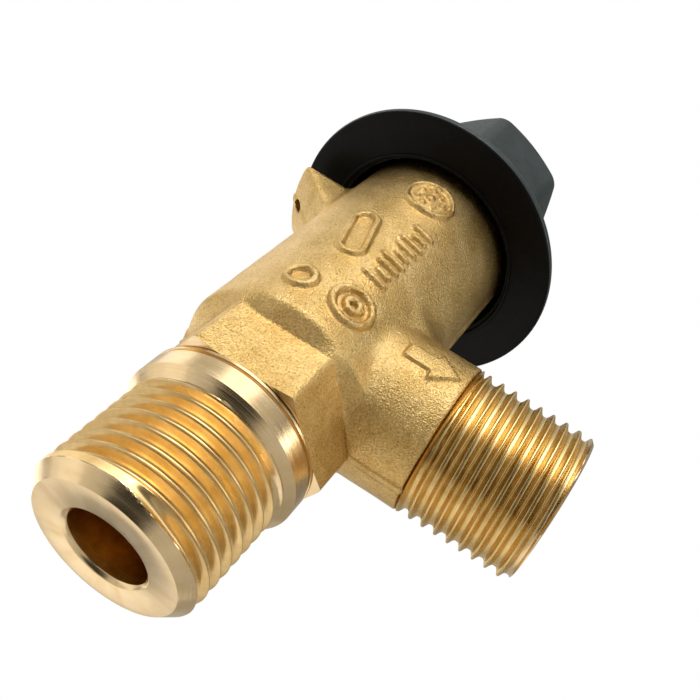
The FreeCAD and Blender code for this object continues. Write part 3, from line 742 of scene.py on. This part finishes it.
def make_spring():
    """Round wire wound between the two spring plates, its end turns closed and ground flat."""
    t = np.linspace(0, 1, SPRING_STEPS)
    rise = smooth_step(t, END_TURNS, 1 - END_TURNS) * (1 - EVEN_RISE) + t * EVEN_RISE
    inset = WIRE_R * (1 - END_GROUND)
    wire_z = SPRING_LOW + inset + rise * (SPRING_HIGH - SPRING_LOW - 2 * inset)
    turn = t * SPRING_TURNS * 2 * math.pi
    around = np.arange(WIRE_SIDES) * 2 * math.pi / WIRE_SIDES
    radius = SPRING_R + WIRE_R * np.cos(around)[None, :]
    height = np.clip(wire_z[:, None] + WIRE_R * np.sin(around)[None, :], SPRING_LOW, SPRING_HIGH)
    points = polar_points(*np.broadcast_arrays(radius, height, turn[:, None])).reshape(-1, 3)
    faces = round_faces(SPRING_STEPS, WIRE_SIDES).tolist()
    last = (SPRING_STEPS - 1) * WIRE_SIDES
    faces += [list(range(WIRE_SIDES)), list(range(last, last + WIRE_SIDES))[::-1]]
    return make_piece("spring_coil", points, faces, sharp=50.0, weld=False, turn_outward=True)


def make_diaphragm():
    """Moulded rubber diaphragm: flat middle, rolled wall and thick rim."""
    angle = np.arange(DIAPHRAGM_COLUMNS) * 2 * math.pi / DIAPHRAGM_COLUMNS
    rings = [polar_points(*np.broadcast_arrays(r, z, angle)) for r, z in DIAPHRAGM_OUTLINE]
    faces = round_faces(len(rings), DIAPHRAGM_COLUMNS, closed=True).tolist()
    return make_piece("diaphragm_skin", np.concatenate(rings), faces, sharp=60.0)


# ---------------------------------------------------------------------------------- materials


def add(tree, kind, **values):
    """A shader node with some of its inputs or properties set."""
    made = tree.nodes.new(kind)
    for name, value in values.items():
        if name in made.inputs:
            made.inputs[name].default_value = value
        else:
            setattr(made, name, value)
    return made


def new_material(name):
    """A material and its principled shader."""
    material = bpy.data.materials.new(name)
    material.use_nodes = True
    return material, material.node_tree, material.node_tree.nodes["Principled BSDF"]


def noise(tree, scale, detail=3.0, roughness=0.55, vector=None):
    """Noise in the object's own space, with its scale in cycles a metre."""
    made = add(tree, "ShaderNodeTexNoise", Scale=scale, Detail=detail, Roughness=roughness)
    if vector is None:
        vector = add(tree, "ShaderNodeTexCoord").outputs["Object"]
    tree.links.new(vector, made.inputs["Vector"])
    return made.outputs["Fac"]


def ramp(tree, source, stops):
    """A colour ramp over a value."""
    made = tree.nodes.new("ShaderNodeValToRGB")
    made.color_ramp.elements[0].position = stops[0][0]
    made.color_ramp.elements[0].color = (*stops[0][1], 1)
    made.color_ramp.elements[1].position = stops[-1][0]
    made.color_ramp.elements[1].color = (*stops[-1][1], 1)
    for position, colour in stops[1:-1]:
        made.color_ramp.elements.new(position).color = (*colour, 1)
    tree.links.new(source, made.inputs["Fac"])
    return made.outputs["Color"]


def spread(tree, source, low, high, to_low, to_high):
    """Map a value from one range to another."""
    made = tree.nodes.new("ShaderNodeMapRange")
    ends = (("From Min", low), ("From Max", high), ("To Min", to_low), ("To Max", to_high))
    for name, value in ends:
        made.inputs[name].default_value = value
    tree.links.new(source, made.inputs["Value"])
    return made.outputs["Result"]


def multiply(tree, colour, tint, factor):
    """One colour tinted by another, by a factor."""
    made = add(tree, "ShaderNodeMix", data_type="RGBA", blend_type="MULTIPLY")
    made.inputs["Factor"].default_value = factor
    tree.links.new(colour, made.inputs["A"])
    tree.links.new(tint, made.inputs["B"])
    return made.outputs["Result"]


def bump(tree, height, strength, distance, after=None):
    """A bump, added to an earlier one if given."""
    made = add(tree, "ShaderNodeBump", Strength=strength, Distance=distance)
    tree.links.new(height, made.inputs["Height"])
    if after is not None:
        tree.links.new(after, made.inputs["Normal"])
    return made.outputs["Normal"]


def cast_brass():
    """Sand-blasted forging brass: matt grain over a warm, slightly mottled gold, with painted shade
    darkening its creases.
    """
    material, tree, shader = new_material("cast_brass")
    mottle = noise(tree, 240.0, 5.0, 0.65)
    colour = ramp(tree, mottle, [
        (0.30, (0.60, 0.398, 0.132)), (0.50, (0.74, 0.512, 0.200)), (0.72, (0.84, 0.620, 0.280)),
    ])
    grain = noise(tree, 4300.0, 2.0, 0.7)
    speckle = ramp(tree, grain, [
        (0.36, (0.73, 0.66, 0.55)), (0.50, (1, 1, 1)), (0.62, (1.24, 1.22, 1.16)),
    ])
    tinted = multiply(tree, colour, speckle, 0.70)
    # painted shade: the colour is darkened where ambient occlusion finds creases and corners
    crevice_occlusion = add(tree, "ShaderNodeAmbientOcclusion", Distance=0.0012, samples=6)
    painted_crevice_shade = ramp(tree, crevice_occlusion.outputs["AO"], [(0.35, (0.55, 0.42, 0.24)), (0.70, (1, 1, 1))])
    tree.links.new(multiply(tree, tinted, painted_crevice_shade, 1.0), shader.inputs["Base Color"])
    tree.links.new(spread(tree, grain, 0.3, 0.7, 0.26, 0.42), shader.inputs["Roughness"])
    shader.inputs["Metallic"].default_value = 1.0
    fine = bump(tree, grain, 1.0, 0.00014)
    coarse = bump(tree, noise(tree, 1900.0, 3.0, 0.7), 0.55, 0.00013, fine)
    tree.links.new(coarse, shader.inputs["Normal"])
    return material


def turning_lines(tree, place, axis):
    """Noise drawn out round an axis, as the lines that a lathe tool leaves."""
    parts = tree.nodes.new("ShaderNodeSeparateXYZ")
    tree.links.new(place, parts.inputs["Vector"])
    across = {"Z": ("X", "Y", "Z"), "X": ("Y", "Z", "X")}[axis]
    combine = tree.nodes.new("ShaderNodeCombineXYZ")
    for target, source, cycles in zip("XYZ", across, (60.0, 60.0, 9000.0)):
        scale = add(tree, "ShaderNodeMath", operation="MULTIPLY")
        scale.inputs[1].default_value = cycles
        tree.links.new(parts.outputs[source], scale.inputs[0])
        tree.links.new(scale.outputs[0], combine.inputs[target])
    return noise(tree, 1.0, 3.0, 0.6, combine.outputs["Vector"])


def painted_reflection_streaks(tree, place, axis):
    """Noise that changes only with the bearing round an axis, painted into the colour as the dark
    streaky reflection of a turned face.
    """
    centred = add(tree, "ShaderNodeVectorMath", operation="SUBTRACT")
    centred.inputs[1].default_value = (0, 0, OUTLET_Z * MM if axis == "X" else 0)
    tree.links.new(place, centred.inputs[0])
    flat = add(tree, "ShaderNodeVectorMath", operation="MULTIPLY")
    flat.inputs[1].default_value = (0, 1, 1) if axis == "X" else (1, 1, 0)
    tree.links.new(centred.outputs["Vector"], flat.inputs[0])
    bearing = add(tree, "ShaderNodeVectorMath", operation="NORMALIZE")
    tree.links.new(flat.outputs["Vector"], bearing.inputs[0])
    return noise(tree, 2.6, 3.0, 0.6, bearing.outputs["Vector"])


def turned_brass(name, axis, colour_low, colour_high, roughness=(0.13, 0.26)):
    """Machined brass with fine turning lines, and faint dark streaks round an axis painted into its
    colour as reflections.
    """
    material, tree, shader = new_material(name)
    place = add(tree, "ShaderNodeTexCoord").outputs["Object"]
    lines = turning_lines(tree, place, axis)
    base = ramp(tree, noise(tree, 420.0, 3.0, 0.6), [(0.3, colour_low), (0.7, colour_high)])
    # painted reflection: dark streaks by bearing round the axis darken the colour as a turned face's
    # reflections do
    reflection_streaks = painted_reflection_streaks(tree, place, axis)
    darker = ramp(tree, reflection_streaks, [(0.32, (0.62, 0.56, 0.46)), (0.55, (1, 1, 1))])
    tree.links.new(multiply(tree, base, darker, 0.32), shader.inputs["Base Color"])
    tree.links.new(spread(tree, lines, 0.3, 0.7, *roughness), shader.inputs["Roughness"])
    shader.inputs["Metallic"].default_value = 1.0
    shader.inputs["Anisotropic"].default_value = 0.85
    turning = add(tree, "ShaderNodeTangent", direction_type="RADIAL", axis=axis)
    tree.links.new(turning.outputs["Tangent"], shader.inputs["Tangent"])
    tree.links.new(bump(tree, lines, 0.5, 0.000012), shader.inputs["Normal"])
    return material


def moulded_plastic(name, dark, light, specular):
    """Plastic with a satin skin."""
    material, tree, shader = new_material(name)
    cloud = noise(tree, 220.0, 5.0, 0.65)
    tree.links.new(ramp(tree, cloud, [(0.35, dark), (0.7, light)]), shader.inputs["Base Color"])
    grain = noise(tree, 2400.0, 2.0)
    tree.links.new(spread(tree, grain, 0.3, 0.7, 0.38, 0.50), shader.inputs["Roughness"])
    shader.inputs["Specular IOR Level"].default_value = specular
    skin = bump(tree, noise(tree, 3200.0, 3.0), 0.35, 0.00005)
    tree.links.new(skin, shader.inputs["Normal"])
    return material


def plated_steel(name, colour, low, high):
    """Steel with a plated or drawn finish."""
    material, tree, shader = new_material(name)
    cloud = noise(tree, 500.0, 4.0, 0.6)
    darker = tuple(0.8 * c for c in colour)
    tree.links.new(ramp(tree, cloud, [(0.3, darker), (0.7, colour)]), shader.inputs["Base Color"])
    tree.links.new(spread(tree, cloud, 0.3, 0.7, low, high), shader.inputs["Roughness"])
    shader.inputs["Metallic"].default_value = 1.0
    tree.links.new(bump(tree, noise(tree, 3000.0), 0.2, 0.00002), shader.inputs["Normal"])
    return material


def black_rubber():
    """Moulded black rubber."""
    material, tree, shader = new_material("black_rubber")
    cloud = noise(tree, 900.0, 3.0)
    tree.links.new(ramp(tree, cloud, [(0.3, (0.010, 0.010, 0.010)), (0.7, (0.020, 0.020, 0.021))]),
                   shader.inputs["Base Color"])
    tree.links.new(spread(tree, cloud, 0.3, 0.7, 0.55, 0.75), shader.inputs["Roughness"])
    tree.links.new(bump(tree, noise(tree, 2600.0), 0.3, 0.00003), shader.inputs["Normal"])
    return material


# ---------------------------------------------------------------------------- stage and camera


def make_world():
    """A white backdrop for the camera, and a tent of light with two dimmer parts for all else."""
    world = bpy.data.worlds.new("studio")
    bpy.context.scene.world = world
    world.use_nodes = True
    tree = world.node_tree
    tree.nodes.clear()
    direction = add(tree, "ShaderNodeTexCoord").outputs["Generated"]
    level = None
    for axis, low, high, dim in TENT_PANELS:
        dot = add(tree, "ShaderNodeVectorMath", operation="DOT_PRODUCT")
        dot.inputs[1].default_value = Vector(axis).normalized()
        tree.links.new(direction, dot.inputs[0])
        panel = tree.nodes.new("ShaderNodeMapRange")
        panel.interpolation_type = "SMOOTHSTEP"
        ends = (("From Min", low), ("From Max", high), ("To Min", 1.0), ("To Max", dim))
        for name, value in ends:
            panel.inputs[name].default_value = value
        tree.links.new(dot.outputs["Value"], panel.inputs["Value"])
        if level is None:
            level = panel.outputs["Result"]
        else:
            product = add(tree, "ShaderNodeMath", operation="MULTIPLY")
            tree.links.new(level, product.inputs[0])
            tree.links.new(panel.outputs["Result"], product.inputs[1])
            level = product.outputs[0]
    tent = add(tree, "ShaderNodeBackground", Color=TENT_COLOUR)
    scaled = add(tree, "ShaderNodeMath", operation="MULTIPLY")
    scaled.inputs[1].default_value = TENT_LEVEL
    tree.links.new(level, scaled.inputs[0])
    tree.links.new(scaled.outputs[0], tent.inputs["Strength"])
    backdrop = add(tree, "ShaderNodeBackground", Color=(1, 1, 1, 1), Strength=1.0)
    path = tree.nodes.new("ShaderNodeLightPath")
    mix = tree.nodes.new("ShaderNodeMixShader")
    tree.links.new(path.outputs["Is Camera Ray"], mix.inputs["Fac"])
    tree.links.new(tent.outputs[0], mix.inputs[1])
    tree.links.new(backdrop.outputs[0], mix.inputs[2])
    output = tree.nodes.new("ShaderNodeOutputWorld")
    tree.links.new(mix.outputs[0], output.inputs["Surface"])


def make_sheet(name, half_width, half_height, z, material):
    """A flat level rectangle that belongs to the stage and not to the valve."""
    corners = [(x * half_width, y * half_height, z) for x, y in ((-1, -1), (1, -1), (1, 1), (-1, 1))]
    mesh = bpy.data.meshes.new(name)
    mesh.from_pydata(corners, [], [(0, 1, 2, 3)])
    mesh.materials.append(material)
    sheet = bpy.data.objects.new(name, mesh)
    bpy.context.scene.collection.objects.link(sheet)
    return sheet


def matt_material(name, scale, low, high, roughness):
    """A matt stage material, slightly uneven in colour."""
    material, tree, shader = new_material(name)
    cloud = ramp(tree, noise(tree, scale), [(0.3, low), (0.7, high)])
    tree.links.new(cloud, shader.inputs["Base Color"])
    shader.inputs["Roughness"].default_value = roughness
    return material


def make_floor():
    """A pale floor a little below the camera, with the valve held above it."""
    paper = matt_material("floor_paper", 40.0, (0.80, 0.79, 0.775), (0.84, 0.83, 0.815), 0.7)
    make_sheet("floor", FLOOR_HALF, FLOOR_HALF, FLOOR_Z, paper)


def make_card(name, centre, half_width, half_height, shade):
    """A dark card that only shows in reflections."""
    felt = matt_material(name + "_felt", 300.0, (0.8 * shade,) * 3, (1.2 * shade,) * 3, 0.9)
    card = make_sheet(name, half_width, half_height, 0, felt)
    card.location = centre
    card.rotation_mode = "QUATERNION"
    card.rotation_quaternion = (LIGHT_AIM - Vector(centre)).to_track_quat("Z", "Y")
    card.visible_camera = False
    card.visible_diffuse = False
    card.visible_shadow = False


def make_lights():
    """Soft rectangular lights, all turned to the middle of the valve."""
    for i, (place, width, height, power, colour) in enumerate(LIGHTS):
        data = bpy.data.lights.new("softbox_%d" % i, "AREA")
        data.shape = "RECTANGLE"
        data.size = width
        data.size_y = height
        data.energy = power
        data.color = colour
        light = bpy.data.objects.new("softbox_%d" % i, data)
        light.location = place
        light.rotation_mode = "QUATERNION"
        light.rotation_quaternion = (LIGHT_AIM - Vector(place)).to_track_quat("-Z", "Y")
        light.visible_camera = False
        bpy.context.scene.collection.objects.link(light)


def make_camera():
    """The camera that took the photograph."""
    data = bpy.data.cameras.new("camera")
    data.sensor_width = CAMERA_SENSOR
    data.lens = CAMERA_LENS
    data.shift_x, data.shift_y = CAMERA_SHIFT
    data.clip_start = 0.005
    data.clip_end = 10.0
    camera = bpy.data.objects.new("camera", data)
    camera.location = Vector(CAMERA_PLACE_MM) * MM
    camera.rotation_euler = Euler([math.radians(a) for a in CAMERA_TURN], "XYZ")
    bpy.context.scene.collection.objects.link(camera)
    bpy.context.scene.camera = camera


# ------------------------------------------------------------------------------------ assembly


def paint_by_zone(piece, materials, zone_of):
    """Give each face the material that its middle's place asks for."""
    mesh = piece.data
    for material in materials:
        mesh.materials.append(material)
    middles = np.zeros(len(mesh.polygons) * 3)
    mesh.polygons.foreach_get("center", middles)
    mesh.polygons.foreach_set("material_index", zone_of(middles.reshape(-1, 3) / MM).astype(np.int32))


def settle(piece, body, node):
    """Fasten a piece to its body and hide the CAD node that it stands for."""
    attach(piece, body)
    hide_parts(node)


def inlet_zones(middles):
    """0 on turned faces, 1 on the hexagon's cast sides, 2 in the bore and 3 on the thread."""
    r = np.hypot(middles[:, 0], middles[:, 1])
    z = middles[:, 2]
    bevel = HEX_LOW + HEX_BEVEL * (r - HEX_FACE_R) / (HEX_CORNER_R - HEX_FACE_R)
    zone = ((z > bevel + 0.02) & (r > HEX_INNER_R)).astype(int)
    zone[(r < BORE_R + 0.01) & (z > COUNTERSINK_DEPTH)] = 2
    behind_chamfer = (z > 0.1) & (r < FACE_R + CHAMFER_SLOPE * z - 0.05)
    zone[behind_chamfer & (r > ROOT_R - 0.1) & (z < RUNOUT_START + 0.3)] = 3
    return zone


def knob_zones(middles):
    """0 on the knob's outside and 1 in its recess and under its flange, which take a darker copy of
    the plastic as painted shade.
    """
    r = np.hypot(middles[:, 0], middles[:, 1])
    z = middles[:, 2]
    return (z < FLANGE_LOW + 0.3) | ((r < RECESS_R + 0.1) & (z < RECESS_TOP + 0.1))


def outlet_zones(middles):
    """0 on the outlet's chamfer and bore and 1 on its thread."""
    r = np.hypot(middles[:, 1], middles[:, 2] - OUTLET_Z)
    return (r > OUTLET_ROOT_R - 0.1) & (middles[:, 0] < OUTLET_END - 0.7)


bpy.context.scene.view_settings.view_transform = "Standard"
make_camera()
make_world()
make_floor()
make_lights()
for i, card in enumerate(CARDS):
    make_card("card_%d" % i, *card)

cast = cast_brass()
turned_z = turned_brass("turned_brass_z", "Z", (0.81, 0.60, 0.325), (0.88, 0.69, 0.425))
turned_x = turned_brass("turned_brass_x", "X", (0.80, 0.60, 0.34), (0.88, 0.69, 0.44))
groove_z = turned_brass("groove_brass_z", "Z", (0.78, 0.53, 0.21), (0.91, 0.67, 0.33), (0.26, 0.38))
groove_x = turned_brass("groove_brass_x", "X", (0.69, 0.47, 0.18), (0.84, 0.62, 0.29), (0.20, 0.32))
# painted shade: the bore's brass is given a dark brown colour that stands in for the shade inside it
bore_shade_brass = turned_brass("bore_brass_painted_shade", "Z", (0.26, 0.125, 0.022), (0.50, 0.26, 0.055), (0.25, 0.45))
plastic = moulded_plastic("grey_plastic", (0.022, 0.033, 0.0345), (0.037, 0.053, 0.0550), 0.40)
# a darker copy of the plastic: painted shade for the recess and the flange's underside
shaded_plastic = moulded_plastic("plastic_painted_shade",
                            (0.0025, 0.0027, 0.0028), (0.0045, 0.0048, 0.0050), 0.10)
steel = plated_steel("steel", (0.62, 0.61, 0.59), 0.25, 0.4)
wire_steel = plated_steel("spring_steel", (0.45, 0.45, 0.46), 0.3, 0.45)
rubber = black_rubber()

casting = make_casting()
casting.data.materials.append(cast)
settle(casting, "housing", "valve_body")

inlet = make_inlet_end()
paint_by_zone(inlet, (turned_z, cast, bore_shade_brass, groove_z), inlet_zones)
settle(inlet, "housing", "valve_body")

outlet = make_outlet_end()
paint_by_zone(outlet, (turned_x, groove_x), outlet_zones)
settle(outlet, "housing", "valve_body")

knob = make_knob()
# the recess and the flange's underside get the painted shade copy of the plastic
paint_by_zone(knob, (plastic, shaded_plastic), knob_zones)
settle(knob, "knob_assembly", "knob")

spring = make_spring()
spring.data.materials.append(wire_steel)
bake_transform(spring)
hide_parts("pressure_spring")

diaphragm = make_diaphragm()
diaphragm.data.materials.append(rubber)
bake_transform(diaphragm)
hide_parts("diaphragm")

# the inner parts keep their CAD shape and get their finish
FINISHES = {"machined_brass": turned_z, "cast_brass": cast, "grey_plastic": plastic, "steel": steel,
            "spring_steel": wire_steel, "black_rubber": rubber}
for part in frame["record"]["subparts"]:
    mesh = frame["nodes"][part["node"]].data
    mesh.materials.clear()
    mesh.materials.append(FINISHES[part["material_slot"]])
